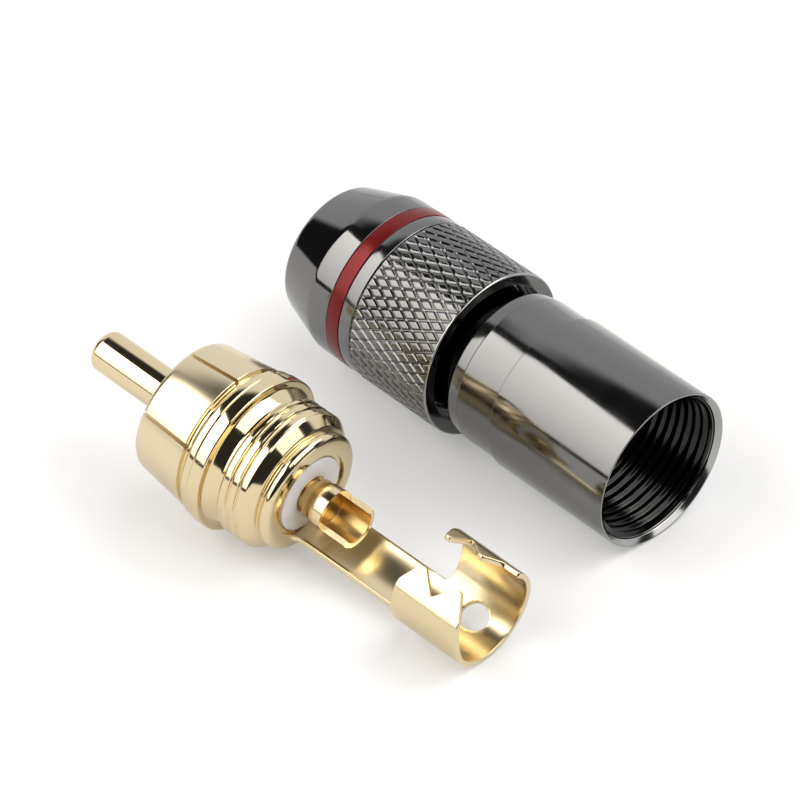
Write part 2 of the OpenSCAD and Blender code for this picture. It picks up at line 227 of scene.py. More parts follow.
END_BEAD_R = 4.62
END_BEAD_TOP = 11.57
END_BEAD_RISE = 0.29
RIM_CROWN_R = 4.0
RIM_CROWN = 0.5
RIM_EDGE = 12.09
RIM_EDGE_R = 3.9
RIM_END = 12.13
RIM_BORE_R = 3.3
CLAMP_SEAT_R = 3.67
CLAMP_SEAT = 11.5
CLAMP_SEAT_END = 11.92
INSULATOR_R = 3.62
INSULATOR_SHOULDER = 6.0
body_outline = softened(
    [(0, COLLAR_BORE_R, 0.15), (0, COLLAR_FRONT_R, 0.5), (COLLAR_END, COLLAR_REAR_R, 0.1),
     (GROOVE_START, GROOVE_R, 0.04), (GROOVE_END, GROOVE_R, 0.04),
     (BEAD_START, BEAD_R, 0.12), (BEAD_CREST, BEAD_CREST_R, 0.05), (BEAD_FOOT, BEAD_FOOT_R, 0.02),
     (FLANGE_START, FLANGE_R, 0.06), (FLANGE_END, FLANGE_R, 0.16), (FLANGE_END, NECK_FRONT_R, 0.15),
     (NECK_START, NECK_R, 0.2), (NECK_END, NECK_R, 0.08), (THREAD_FOOT, THREAD_EDGE_R, 0.08)]
    + stretch(THREAD_START, THREAD_END, THREAD_R, THREAD_PITCH / THREAD_SAMPLES)
    + [(THREAD_TAIL, THREAD_EDGE_R, 0.1), (RELIEF_START, RELIEF_EDGE_R, 0.1),
       (RELIEF_FLOOR, RELIEF_R, 0.06), (RELIEF_END, RELIEF_R, 0.06)]
    + arc_points((END_BEAD_TOP, RELIEF_R), END_BEAD_R - RELIEF_R, END_BEAD_RISE, -80, 0)
    + arc_points((END_BEAD_TOP, RIM_CROWN_R), END_BEAD_R - RIM_CROWN_R, RIM_CROWN, 8, 62)
    + [(RIM_EDGE, RIM_EDGE_R, 0.2), (RIM_END, RIM_BORE_R, 0.06),
       (CLAMP_SEAT_END, RIM_BORE_R, 0.05), (CLAMP_SEAT_END, CLAMP_SEAT_R, 0.02),
       (CLAMP_SEAT, CLAMP_SEAT_R, 0.02), (CLAMP_SEAT, INSULATOR_R, 0.02),
       (INSULATOR_SHOULDER, INSULATOR_R, 0.02), (INSULATOR_SHOULDER, COLLAR_BORE_R, 0.02)])

# How near to a crest's radius a point counts as part of the thread or knurl
ON_CREST = 0.0001


def body_thread(x, r, angle):
    """A right-hand thread with broad rounded crests and narrow grooves, which fades out at both ends."""
    if abs(r - THREAD_R) > ON_CREST:
        return r
    fade = max(0, min(1, (x - THREAD_START) / THREAD_FADE, (THREAD_END - x) / THREAD_FADE))
    turn = (x - THREAD_PHASE) / THREAD_PITCH + angle / (2 * math.pi)
    groove = max(0, math.cos(2 * math.pi * turn)) ** GROOVE_POWER
    return r - fade * THREAD_DEPTH * groove


# Six slits let the collar spring open over a socket
SLIT_COUNT = 6
SLIT_CLOCK = math.radians(28.5)
SLIT_W = 0.32
SLIT_START = -1
SLIT_END = 4.74
SLIT_INNER_R = 3.55
SLIT_OUTER_R = 6.7
slit_clocks = [SLIT_CLOCK + k * 2 * math.pi / SLIT_COUNT for k in range(SLIT_COUNT)]
slits = [slab(clock, SLIT_INNER_R, SLIT_OUTER_R, SLIT_W, SLIT_START, SLIT_END) for clock in slit_clocks]
body_mesh = carved(turned("contact_body", body_outline, steps=256, shape=body_thread), slits)
contact_body = finished("contact_body_plated", body_mesh,
                        contact_place, "plug", "contact_body")


def new_group(name, inputs, outputs):
    """Empty shader node group with named sockets, and its own input and output nodes."""
    tree = bpy.data.node_groups.new(name, "ShaderNodeTree")
    for label, kind, default in inputs:
        socket = tree.interface.new_socket(label, in_out="INPUT", socket_type=kind)
        socket.default_value = default
    for label, kind in outputs:
        tree.interface.new_socket(label, in_out="OUTPUT", socket_type=kind)
    return tree, tree.nodes.new("NodeGroupInput"), tree.nodes.new("NodeGroupOutput")


def turning_marks():
    """Fine rings that a lathe leaves, along the piece's own X, with smears of handling in the polish."""
    tree, given, out = new_group(
        "turning_marks",
        [("Rings", "NodeSocketFloat", 9000.0), ("Smear", "NodeSocketFloat", 350.0),
         ("Smooth", "NodeSocketFloat", 0.08), ("Rough", "NodeSocketFloat", 0.14)],
        [("Roughness", "NodeSocketFloat"), ("Height", "NodeSocketFloat")])
    where = tree.nodes.new("ShaderNodeTexCoord")
    split = tree.nodes.new("ShaderNodeSeparateXYZ")
    station = tree.nodes.new("ShaderNodeMath")
    station.operation = "MULTIPLY"
    rings = tree.nodes.new("ShaderNodeTexNoise")
    rings.noise_dimensions = "1D"
    rings.inputs["Scale"].default_value = 1.0
    rings.inputs["Detail"].default_value = 3.0
    smear = tree.nodes.new("ShaderNodeTexNoise")
    smear.inputs["Detail"].default_value = 4.0
    polish = tree.nodes.new("ShaderNodeMapRange")
    polish.inputs["From Min"].default_value = 0.3
    polish.inputs["From Max"].default_value = 0.7
    link = tree.links.new
    link(where.outputs["Object"], split.inputs[0])
    link(split.outputs["X"], station.inputs[0])
    link(given.outputs["Rings"], station.inputs[1])
    link(station.outputs[0], rings.inputs["W"])
    link(where.outputs["Object"], smear.inputs["Vector"])
    link(given.outputs["Smear"], smear.inputs["Scale"])
    link(smear.outputs["Fac"], polish.inputs["Value"])
    link(given.outputs["Smooth"], polish.inputs["To Min"])
    link(given.outputs["Rough"], polish.inputs["To Max"])
    link(polish.outputs["Result"], out.inputs["Roughness"])
    link(rings.outputs["Fac"], out.inputs["Height"])
    return tree


def plating_tone():
    """Slow change between two tones of one plating, as its thickness varies over a piece."""
    tree, given, out = new_group(
        "plating_tone",
        [("Thin", "NodeSocketColor", (1, 1, 1, 1)), ("Thick", "NodeSocketColor", (1, 1, 1, 1)),
         ("Scale", "NodeSocketFloat", 120.0)],
        [("Colour", "NodeSocketColor")])
    where = tree.nodes.new("ShaderNodeTexCoord")
    cloud = tree.nodes.new("ShaderNodeTexNoise")
    cloud.inputs["Detail"].default_value = 3.0
    mix = tree.nodes.new("ShaderNodeMix")
    mix.data_type = "RGBA"
    link = tree.links.new
    link(where.outputs["Object"], cloud.inputs["Vector"])
    link(given.outputs["Scale"], cloud.inputs["Scale"])
    link(cloud.outputs["Fac"], mix.inputs["Factor"])
    link(given.outputs["Thin"], mix.inputs["A"])
    link(given.outputs["Thick"], mix.inputs["B"])
    link(mix.outputs["Result"], out.inputs["Colour"])
    return tree


def turned_place():
    """Where a point of a turned piece lies: its station along the piece's own X, and its radius."""
    tree, given, out = new_group(
        "turned_place", [], [("Station", "NodeSocketFloat"), ("Radius", "NodeSocketFloat")])
    where = tree.nodes.new("ShaderNodeTexCoord")
    split = tree.nodes.new("ShaderNodeSeparateXYZ")
    off_axis = tree.nodes.new("ShaderNodeVectorMath")
    off_axis.operation = "MULTIPLY"
    off_axis.inputs[1].default_value = (0, 1, 1)
    from_axis = tree.nodes.new("ShaderNodeVectorMath")
    from_axis.operation = "LENGTH"
    link = tree.links.new
    link(where.outputs["Object"], split.inputs[0])
    link(split.outputs["X"], out.inputs["Station"])
    link(where.outputs["Object"], off_axis.inputs[0])
    link(off_axis.outputs["Vector"], from_axis.inputs[0])
    link(from_axis.outputs["Value"], out.inputs["Radius"])
    return tree


marks_group = turning_marks()
tone_group = plating_tone()
place_group = turned_place()


def plated_metal(name, thin, thick, smooth, rough, rings, bump):
    """Polished plating over turned or pressed metal, whose tone, polish and lathe rings change over it."""
    material = bpy.data.materials.new(name)
    material.use_nodes = True
    nodes = material.node_tree.nodes
    link = material.node_tree.links.new
    surface = nodes["Principled BSDF"]
    surface.inputs["Metallic"].default_value = 1.0
    tone = nodes.new("ShaderNodeGroup")
    tone.node_tree = tone_group
    tone.inputs["Thin"].default_value = (*thin, 1)
    tone.inputs["Thick"].default_value = (*thick, 1)
    marks = nodes.new("ShaderNodeGroup")
    marks.node_tree = marks_group
    marks.inputs["Rings"].default_value = rings
    marks.inputs["Smooth"].default_value = smooth
    marks.inputs["Rough"].default_value = rough
    relief = nodes.new("ShaderNodeBump")
    relief.inputs["Strength"].default_value = bump
    relief.inputs["Distance"].default_value = 0.00001
    link(tone.outputs["Colour"], surface.inputs["Base Color"])
    link(marks.outputs["Roughness"], surface.inputs["Roughness"])
    link(marks.outputs["Height"], relief.inputs["Height"])
    link(relief.outputs["Normal"], surface.inputs["Normal"])
    return material


def zone_finish(material, tests, colour, roughness):
    """Gives the zone of a turned piece where one or two tests hold its own colour and roughness.
    A test is the value that it looks at, a comparison and a limit in millimetres."""
    nodes = material.node_tree.nodes
    link = material.node_tree.links.new
    surface = nodes["Principled BSDF"]
    place = nodes.new("ShaderNodeGroup")
    place.node_tree = place_group
    mask = nodes.new("ShaderNodeMath")
    mask.operation = "MULTIPLY"
    mask.inputs[1].default_value = 1.0
    for k, (value, comparison, limit) in enumerate(tests):
        test = nodes.new("ShaderNodeMath")
        test.operation = comparison
        test.inputs[1].default_value = limit * MM
        link(place.outputs[value], test.inputs[0])
        link(test.outputs[0], mask.inputs[k])
    for label, kind, finish in (("Base Color", "RGBA", (*colour, 1)), ("Roughness", "FLOAT", roughness)):
        mix = nodes.new("ShaderNodeMix")
        mix.data_type = kind
        mix.inputs["B"].default_value = finish
        link(mask.outputs[0], mix.inputs["Factor"])
        link(surface.inputs[label].links[0].from_socket, mix.inputs["A"])
        link(mix.outputs["Result"], surface.inputs[label])


# The collar in front of the groove is brushed satin, the rest is polished
GOLD_THIN = (0.78, 0.66, 0.43)
GOLD_THICK = (0.74, 0.61, 0.37)
GOLD_SATIN = (0.76, 0.645, 0.435)
SATIN_ROUGHNESS = 0.24
body_gold = plated_metal("gold_plating", GOLD_THIN, GOLD_THICK, smooth=0.07, rough=0.12, rings=9000, bump=0.1)
zone_finish(body_gold, [("Station", "LESS_THAN", COLLAR_END)], GOLD_SATIN, SATIN_ROUGHNESS)
coated(contact_body, body_gold)


# Insulator
# A white moulded plug that holds the centre pin in the body, seen as a disc in the rear recess.
# Its front flange stops in the body's counterbore, and the clamp's ring sits on its rear shoulder.
def moulded_plastic(name, colour, shade, smooth, rough):
    """Smooth moulded plastic with a faint grain and a slow change of shade."""
    material = bpy.data.materials.new(name)
    material.use_nodes = True
    nodes = material.node_tree.nodes
    link = material.node_tree.links.new
    surface = nodes["Principled BSDF"]
    surface.inputs["IOR"].default_value = 1.46
    surface.inputs["Subsurface Weight"].default_value = 0.15
    surface.inputs["Subsurface Radius"].default_value = (0.0006, 0.0006, 0.0006)
    tone = nodes.new("ShaderNodeGroup")
    tone.node_tree = tone_group
    tone.inputs["Thin"].default_value = (*colour, 1)
    tone.inputs["Thick"].default_value = (*shade, 1)
    tone.inputs["Scale"].default_value = 260.0
    marks = nodes.new("ShaderNodeGroup")
    marks.node_tree = marks_group
    marks.inputs["Smooth"].default_value = smooth
    marks.inputs["Rough"].default_value = rough
    grain = nodes.new("ShaderNodeTexNoise")
    grain.inputs["Scale"].default_value = 9000.0
    relief = nodes.new("ShaderNodeBump")
    relief.inputs["Strength"].default_value = 0.08
    relief.inputs["Distance"].default_value = 0.00002
    where = nodes.new("ShaderNodeTexCoord")
    link(where.outputs["Object"], grain.inputs["Vector"])
    link(grain.outputs["Fac"], relief.inputs["Height"])
    link(relief.outputs["Normal"], surface.inputs["Normal"])
    link(tone.outputs["Colour"], surface.inputs["Base Color"])
    link(marks.outputs["Roughness"], surface.inputs["Roughness"])
    return material


PRESS_GAP = 0.02
PIN_HOLE_R = 1.42
INSULATOR_FRONT = 5.2
INSULATOR_FLANGE_R = COLLAR_BORE_R - PRESS_GAP
INSULATOR_PRESS_R = INSULATOR_R - PRESS_GAP
DISC_R = 2.93
DISC_FACE = 12.02
INSULATOR_WHITE = (0.92, 0.92, 0.95)
INSULATOR_SHADE = (0.88, 0.88, 0.92)
insulator_outline = softened(
    [(INSULATOR_FRONT, PIN_HOLE_R, 0.02), (INSULATOR_FRONT, INSULATOR_FLANGE_R, 0.1),
     (INSULATOR_SHOULDER, INSULATOR_FLANGE_R, 0.02), (INSULATOR_SHOULDER, INSULATOR_PRESS_R, 0.02),
     (CLAMP_SEAT, INSULATOR_PRESS_R, 0.02), (CLAMP_SEAT, DISC_R, 0.02),
     (DISC_FACE, DISC_R, 0.06), (DISC_FACE, PIN_HOLE_R, 0.05)])
insulator = finished("insulator_moulded", turned("insulator", insulator_outline, steps=128),
                     contact_place, "plug", "insulator")
coated(insulator, moulded_plastic("insulator_white", INSULATOR_WHITE, INSULATOR_SHADE,
                                  smooth=0.3, rough=0.42))


# Centre pin
# A turned brass pin with a rounded tip, pressed through the insulator up to its shoulder.
# Behind a neck it widens to a stop collar and a solder cup, whose upper half is milled away.
PIN_R = 1.6
PIN_TIP = -8.2
PIN_DOME = 0.8
PIN_FLAT_R = 0.55
SHANK_R = 1.4
SHANK_START = 5.2
PIN_NECK_R = 1.2
PIN_NECK_START = 12.05
STOP_START = 12.5
STOP_END = 13.26
STOP_R = 1.53
CUP_START = 13.3
CUP_FLOOR = 14.0
CUP_RING_END = 14.3
CUP_END = 16.55
CUP_R = 1.64
CUP_BORE_R = 1.22
pin_outline = softened(
    [(PIN_TIP, 0, 0)]
    + arc_points((PIN_TIP + PIN_DOME, PIN_FLAT_R), PIN_R - PIN_FLAT_R, -PIN_DOME, 90, 0, count=14)
    + [(SHANK_START, PIN_R, 0.02), (SHANK_START, SHANK_R, 0.02), (DISC_FACE, SHANK_R, 0.02),
       (PIN_NECK_START, PIN_NECK_R, 0.03), (STOP_START, PIN_NECK_R, 0.06), (STOP_START, STOP_R, 0.1),
       (STOP_END, STOP_R, 0.04), (CUP_START, CUP_R, 0.05), (CUP_END, CUP_R, 0.05),
       (CUP_END, CUP_BORE_R, 0.05), (CUP_FLOOR, CUP_BORE_R, 0.1), (CUP_FLOOR, 0, 0)], steps=6)
# The cup's cut leans from upright towards the camera
CUT_CLOCK = math.radians(61)
CUT_HEIGHT = 0.05
CUT_REACH = 3
CUT_END = 17.55
cup_mouth = slab(CUT_CLOCK, CUT_HEIGHT, CUT_REACH, 2 * CUT_REACH, CUP_RING_END, CUT_END)
pin_mesh = carved(turned("centre_pin", pin_outline, steps=128), [cup_mouth])
centre_pin = finished("centre_pin_plated", pin_mesh, contact_place, "plug", "centre_pin")
# The stop collar is browner than the pin, the cup is duller, and its bore is matt and painted brown, a painted
# shade in the cup's hollow
COLLAR_BROWN = (0.62, 0.42, 0.16)
COLLAR_ROUGHNESS = 0.22
CUP_GOLD = (0.79, 0.65, 0.40)
CUP_ROUGHNESS = 0.15
CUP_BORE_PAINTED_SHADE = (0.66, 0.46, 0.19)
BORE_ROUGHNESS = 0.34
CUP_ZONE_START = 13.25
BORE_ZONE_R = 1.24
pin_gold = plated_metal("gold_plating_pin", GOLD_THIN, GOLD_THICK,
                        smooth=0.07, rough=0.12, rings=12000, bump=0.08)
past_disc = ("Station", "GREATER_THAN", DISC_FACE)
in_cup = ("Station", "GREATER_THAN", CUP_ZONE_START)
in_bore = ("Radius", "LESS_THAN", BORE_ZONE_R)
zone_finish(pin_gold, [past_disc], COLLAR_BROWN, COLLAR_ROUGHNESS)
zone_finish(pin_gold, [in_cup], CUP_GOLD, CUP_ROUGHNESS)
# Painted shade: the cup's bore gets a darker brown than the cup
zone_finish(pin_gold, [in_cup, in_bore], CUP_BORE_PAINTED_SHADE, BORE_ROUGHNESS)
coated(centre_pin, pin_gold)


# Cable clamp
# Pressed brass sheet, gold plated: a ring in the body's rim, a trough-shaped tongue and a cable crimp.
# It is cut flat and bent. Two toothed flaps lean in along the crimp's arms, and a hole lets solder through.
SHEET = 0.4
TONGUE_MID_R = 5.0
TONGUE_LIFT = 1.9
CRIMP_MID_R = 3.55
CRIMP_LIFT = 0.45
CLAMP_ROLL = math.radians(15)
TONGUE_START = 11.55
OPEN_START = 21.2
OPEN_LEN = 1.4
CRIMP_START = 23.2
CRIMP_END = 29.0
NEAR_CREASE = math.radians(127)
FAR_CREASE = math.radians(131)
NEAR_LEAN = math.radians(22)
FAR_LEAN = math.radians(6)
CREASE_SPREAD = 0.15
NEAR_S = CRIMP_MID_R * NEAR_CREASE
FAR_S = CRIMP_MID_R * FAR_CREASE


def smooth_step(t):
    """Eases from 0 to 1."""
    t = min(1, max(0, t))
    return t * t * (3 - 2 * t)


def sheet_point(x, s, out):
    """Place of a point of the bent sheet, s to the near side of its lowest line and out from its middle."""
    open_up = smooth_step((x - OPEN_START) / OPEN_LEN)
    radius = TONGUE_MID_R + (CRIMP_MID_R - TONGUE_MID_R) * open_up
    lift = TONGUE_LIFT + (CRIMP_LIFT - TONGUE_LIFT) * open_up
    side = 1 if s >= 0 else -1
    bend = min(abs(s), NEAR_S if s >= 0 else FAR_S)
    lean = NEAR_LEAN if s >= 0 else FAR_LEAN
    flap = abs(s) - bend
    turn = bend / radius
    facing = turn + lean * min(1, flap / CREASE_SPREAD)
    y = -side * (radius * math.sin(turn) + flap * math.cos(turn + lean) + out * math.sin(facing))
    z = lift - radius * math.cos(turn) + flap * math.sin(turn + lean) - out * math.cos(facing)
    return Vector((x, y * math.cos(CLAMP_ROLL) - z * math.sin(CLAMP_ROLL),
                   y * math.sin(CLAMP_ROLL) + z * math.cos(CLAMP_ROLL))) * MM


# Cut edges of the flat sheet: the tongue's two sides, then the teeth along the flaps, and the near arm's end
ROOT_W = 2.05
TONGUE_W = 1.84
NEAR_EXTRA_W = 0.5
ROOT_END = 12.3
TONGUE_FULL = 12.55
NEAR_ARM = 22.75
FAR_ARM = 22.95
ARM_RISE = 0.15
ARM_STEP = 0.6
TOOTH_CORNER = 0.18


def tongue_side(root_w, width, arm):
    """Edge of one side of the tongue, from the ring to the start of the arm."""
    return [(TONGUE_START, root_w, 0.2), (ROOT_END, root_w, 0.2), (TONGUE_FULL, width, 0.2),
            (arm, width, 0.25), (arm + ARM_RISE, width + ARM_STEP, 0.3)]


# Distances along the crimp and past the crease
near_teeth = [(-0.35, 0.45), (0.5, 2.05), (0.95, 2.1), (2.38, 0.6), (3.6, 2.02), (4.15, 2.06), (5.25, 0.15)]
far_teeth = [(-0.1, 0.3), (0.3, 1.6), (0.75, 1.7), (1.6, -0.1), (2.7, 0.95), (3.25, 1.15), (4.4, 0.0),
             (5.8, -0.1)]
near_end = [(5.3, -0.35, 0.15), (5.7, -2.0, 0.6)]
near_side = tongue_side(ROOT_W + NEAR_EXTRA_W, TONGUE_W + NEAR_EXTRA_W, NEAR_ARM)
near_side += [(CRIMP_START + x, NEAR_S + u, TOOTH_CORNER) for x, u in near_teeth]
near_side += [(CRIMP_START + x, NEAR_S + u, corner) for x, u, corner in near_end]
far_side = tongue_side(ROOT_W, TONGUE_W, FAR_ARM)
far_side += [(CRIMP_START + x, FAR_S + u, TOOTH_CORNER) for x, u in far_teeth]
far_side = [(x, -s, corner) for x, s, corner in far_side]
edge_points = softened(far_side + list(reversed(near_side)))
HOLE_R = 1.08
HOLE_STATION = 26.2
HOLE_S = CRIMP_MID_R * math.radians(-13)
HOLE_STEPS = 40
hole_turns = [2 * math.pi * k / HOLE_STEPS for k in range(HOLE_STEPS)]
hole_points = [Vector((HOLE_STATION + HOLE_R * math.cos(a), HOLE_S - HOLE_R * math.sin(a)))
               for a in hole_turns]


def inside(point, loop):
    """Even-odd test of a point against a closed loop."""
    hit = False
    for a, b in zip(loop, loop[1:] + loop[:1]):
        if (a.y > point.y) != (b.y > point.y):
            if point.x < a.x + (b.x - a.x) * (point.y - a.y) / (b.y - a.y):
                hit = not hit
    return hit


def subdivided(loop, step):
    """The same loop with extra points, so that no side is longer than the step."""
    fine = []
    for a, b in zip(loop, loop[1:] + loop[:1]):
        count = max(1, math.ceil((b - a).length / step))
        fine += [a.lerp(b, k / count) for k in range(count)]
    return fine


def drawn_in(loop, by):
    """The same loop, which has the sheet on its left, moved into the sheet by a small distance."""
    moved = []
    for before, here, after in zip(loop[-1:] + loop[:-1], loop, loop[1:] + loop[:1]):
        way = (after - before).normalized()
        moved.append(here + Vector((-way.y, way.x)) * by)
    return moved


# Flat triangles inside the cut edges, with a row of points along the near arm's crease
SHEET_STEP = 0.2
EASE = 0.05
CLEAR_OF_EDGE = 0.16
CREASE_CLEAR = 0.12
FLAP_REACH = 2.4
CREASE_STEPS = range(-2, 30)
FLAT_WELD = 1e-6
edge_points = subdivided(edge_points, SHEET_STEP)
edge_loop = drawn_in(edge_points, EASE)
hole_loop = drawn_in(hole_points, EASE)
edge_guard = drawn_in(edge_points, CLEAR_OF_EDGE)
hole_guard = drawn_in(hole_points, CLEAR_OF_EDGE)
spots = [Vector((CRIMP_START + SHEET_STEP * k, NEAR_S)) for k in CREASE_STEPS]
rows = int(2 * (FAR_S + FLAP_REACH) / SHEET_STEP)
for i in range(int((CRIMP_END - TONGUE_START) / SHEET_STEP)):
    for j in range(rows):
        spot = Vector((TONGUE_START + (i + 0.5) * SHEET_STEP, (j + 0.5 - rows / 2) * SHEET_STEP))
        if abs(spot.y - NEAR_S) > CREASE_CLEAR:
            spots.append(spot)
spots = [spot for spot in spots if inside(spot, edge_guard) and not inside(spot, hole_guard)]
borders = []
points = []
for loop in (edge_loop, hole_loop):
    borders += [(len(points) + k, len(points) + (k + 1) % len(loop)) for k in range(len(loop))]
    points += loop
flat_points, _, flat_faces, *_ = delaunay_2d_cdt(points + spots, borders, [], 0, FLAT_WELD)

# Both sides of the bent sheet, without slivers, joined by rows that round the cut edges
SLIVER = 0.0001
SHEET_WELD = 2e-6
EASE_MID = 0.015
sheet = bmesh.new()
for out in (SHEET / 2, -SHEET / 2):
    verts = [sheet.verts.new(sheet_point(p.x, p.y, out)) for p in flat_points]
    for face in flat_faces:
        a, b, c = (flat_points[k] for k in face)
        middle = (a + b + c) / 3
        if abs((b - a).cross(c - a)) < SLIVER:
            continue
        if inside(middle, edge_loop) and not inside(middle, hole_loop):
            sheet.faces.new([verts[k] for k in face])
edge_rows = [(EASE, SHEET / 2), (EASE_MID, SHEET / 2 - EASE_MID), (0, SHEET / 2 - EASE),
             (0, EASE - SHEET / 2), (EASE_MID, EASE_MID - SHEET / 2), (EASE, -SHEET / 2)]
for loop in (edge_points, hole_points):
    wall = []
    for by, out in edge_rows:
        wall.append([sheet.verts.new(sheet_point(p.x, p.y, out)) for p in drawn_in(loop, by)])
    for upper, lower in zip(wall, wall[1:]):
        for k in range(len(loop)):
            j = (k + 1) % len(loop)
            sheet.faces.new((upper[k], upper[j], lower[j], lower[k]))
bmesh.ops.delete(sheet, geom=[v for v in sheet.verts if not v.link_faces], context="VERTS")
bmesh.ops.remove_doubles(sheet, verts=sheet.verts, dist=SHEET_WELD)
bmesh.ops.holes_fill(sheet, edges=[edge for edge in sheet.edges if edge.is_boundary])
bmesh.ops.recalc_face_normals(sheet, faces=sheet.faces)

# The ring is turned, and joins the sheet in one mesh
RING_SEAT = 11.52
RING_BACK = 11.9
CLAMP_RING_R = 3.64
CLAMP_RING_BORE_R = 2.95
clamp_ring_outline = softened([(RING_SEAT, CLAMP_RING_BORE_R, 0.08), (RING_SEAT, CLAMP_RING_R, 0.05),
                               (RING_BACK, CLAMP_RING_R, 0.05), (RING_BACK, CLAMP_RING_BORE_R, 0.12)])
sheet.from_mesh(turned("clamp_ring", clamp_ring_outline, steps=96))
clamp_mesh = bpy.data.meshes.new("cable_clamp")
sheet.to_mesh(clamp_mesh)
sheet.free()
cable_clamp = finished("cable_clamp_plated", clamp_mesh,
                       contact_place, "plug", "cable_clamp", sharp=48)
coated(cable_clamp, plated_metal("gold_plating_sheet", GOLD_THIN, GOLD_THICK,
                                 smooth=0.18, rough=0.28, rings=900, bump=0.15))


# Barrel
# A turned tube, plated in black chrome. Its mouth has the inside thread for the contact body.
# A small step leads to the neck, and a spigot behind the shoulder carries the tail cap.
cap_turn = [joint for joint in frame["joints"] if joint["name"] == "cap_turn"][0]
# The cap's joint lies at the rear end of the grip sleeve, 26.05 mm behind the mouth, which is station 0
CAP_JOINT_BEHIND = 26.05
shell_axis = Vector(cap_turn["axis"])
shell_place = lying_along(Vector(cap_turn["pos_m"]) + CAP_JOINT_BEHIND * MM * shell_axis, shell_axis)

BARREL_R = 6.1
BARREL_STEP = -11.05
STEP_FOOT = -11.11
BARREL_NECK_R = 5.9
BAND_EDGE = -14.45
BAND_START = -14.5
BAND_R = 5.87
SHOULDER = -15.5
SHOULDER_R = 5.78
SPIGOT_R = 4.9
SPIGOT_END = -22.8
SPIGOT_BORE_R = 4.1
SHOULDER_INSIDE = -14.1
BARREL_BORE_R = 4.9
INNER_START = -7.1
INNER_FADE = 0.4
INNER_END = -0.7
INNER_CREST_R = 5.28
INNER_ROOT_R = 5.53
INNER_PHASE = -0.8
INNER_SAMPLES = 18
INNER_POWER = 0.8
MOUTH_START = -0.5
MOUTH_R = 5.65
MOUTH_EDGE = 0.34
barrel_outline = softened(
    [(0, BARREL_R, 0.05), (BARREL_STEP, BARREL_R, 0.05), (STEP_FOOT, BARREL_NECK_R, 0.05),
     (BAND_EDGE, BARREL_NECK_R, 0.03), (BAND_START, BAND_R, 0.02),
     (SHOULDER, SHOULDER_R, 0.14), (SHOULDER, SPIGOT_R, 0.1),
     (SPIGOT_END, SPIGOT_R, 0.15), (SPIGOT_END, SPIGOT_BORE_R, 0.1),
     (SHOULDER_INSIDE, SPIGOT_BORE_R, 0.1), (SHOULDER_INSIDE, BARREL_BORE_R, 0.1)]
    + stretch(INNER_START, INNER_END, INNER_CREST_R, THREAD_PITCH / INNER_SAMPLES)
    + [(MOUTH_START, MOUTH_R, 0.1), (-MOUTH_EDGE, MOUTH_R, 0.05), (0, MOUTH_R + MOUTH_EDGE, 0.03)])


def barrel_thread(x, r, angle):
    """The barrel's inside thread, a right-hand helix of rounded grooves."""
    if abs(r - INNER_CREST_R) > ON_CREST:
        return r
    fade = smooth_step((x - INNER_START) / INNER_FADE)
    turn = (x - INNER_PHASE) / THREAD_PITCH + angle / (2 * math.pi)
    groove = (0.5 - 0.5 * math.cos(2 * math.pi * turn)) ** INNER_POWER
    return r + fade * (INNER_ROOT_R - INNER_CREST_R) * groove


barrel = finished("barrel_plated", turned("barrel", barrel_outline, steps=256, shape=barrel_thread),
                  shell_place, "plug", "barrel")
# The bore is painted near black, a painted shade inside the tube. The mouth's edge is painted lighter, a painted
# highlight along its rim.
CHROME_THIN = (0.194, 0.191, 0.188)
CHROME_THICK = (0.174, 0.171, 0.168)
BORE_PAINTED_SHADE = (0.034, 0.034, 0.033)
BORE_POLISH = 0.17
BORE_SHADE_R = 5.61
EDGE_PAINTED_HIGHLIGHT = (0.40, 0.40, 0.39)
MOUTH_POLISH = 0.14
MOUTH_ZONE_START = -0.37
MOUTH_ZONE_R = 6.06
barrel_chrome = plated_metal("black_chrome", CHROME_THIN, CHROME_THICK,
                             smooth=0.09, rough=0.14, rings=7000, bump=0.06)
at_mouth = ("Station", "GREATER_THAN", MOUTH_ZONE_START)
# Painted shade: the bore inside this radius gets a near-black colour
zone_finish(barrel_chrome, [("Radius", "LESS_THAN", BORE_SHADE_R)], BORE_PAINTED_SHADE, BORE_POLISH)
# Painted highlight: the mouth's edge gets a lighter colour than the chrome
zone_finish(barrel_chrome, [at_mouth, ("Radius", "LESS_THAN", MOUTH_ZONE_R)], EDGE_PAINTED_HIGHLIGHT, MOUTH_POLISH)
coated(barrel, barrel_chrome)


# Cable collet
# A split collet of natural nylon behind the barrel's spigot, hidden in the tail cap.
# It keeps its own solid, with the finish of moulded nylon.
NYLON = (0.72, 0.69, 0.62)
NYLON_SHADE = (0.66, 0.63, 0.56)
cable_collet = frame["nodes"]["cable_collet"]
coated(cable_collet, moulded_plastic("collet_nylon", NYLON, NYLON_SHADE, smooth=0.4, rough=0.52))
cable_collet.data.polygons.foreach_set("use_smooth", [True] * len(cable_collet.data.polygons))
cable_collet.data.set_sharp_from_angle(angle=math.radians(30))


# Grip sleeve
# The knurled part of the tail cap, black chrome over brass, which turns on the spigot.
# Its lip is rounded and dished, and the knurl is two crossing sets of V grooves.
SLEEVE_R = 6.55
DISH_R = 5.55
DISH_EDGE = -17.2
DISH_FOOT = -17.12
DISH_FOOT_R = 5.57
DISH_FACE = -17.1
DISH_FACE_R = 5.65
LIP = -17.0
LIP_R = 6.43
LIP_ROUND = -17.02
LIP_ROUND_R = 6.51
LIP_SIDE = -17.09
LIP_SIDE_R = 6.54
GRIP_START = -17.14
GRIP_END = -24.75
GRIP_FOOT = -24.78
GRIP_FOOT_END = -24.87
GRIP_FOOT_R = 6.35
LAND_START = -24.95
LAND_R = 6.5
SLEEVE_END = -26.05
PLUG_BORE_R = 5.32
PLUG_START = -24.65
SPIGOT_RUN_R = 4.95
RECESS = -18.7
KNURL_COUNT = 48
KNURL_LEAD = 1.67
KNURL_DEPTH = 0.14
KNURL_EASE = 0.12
KNURL_SAMPLES = 12
GROOVE_SHARE = 0.14
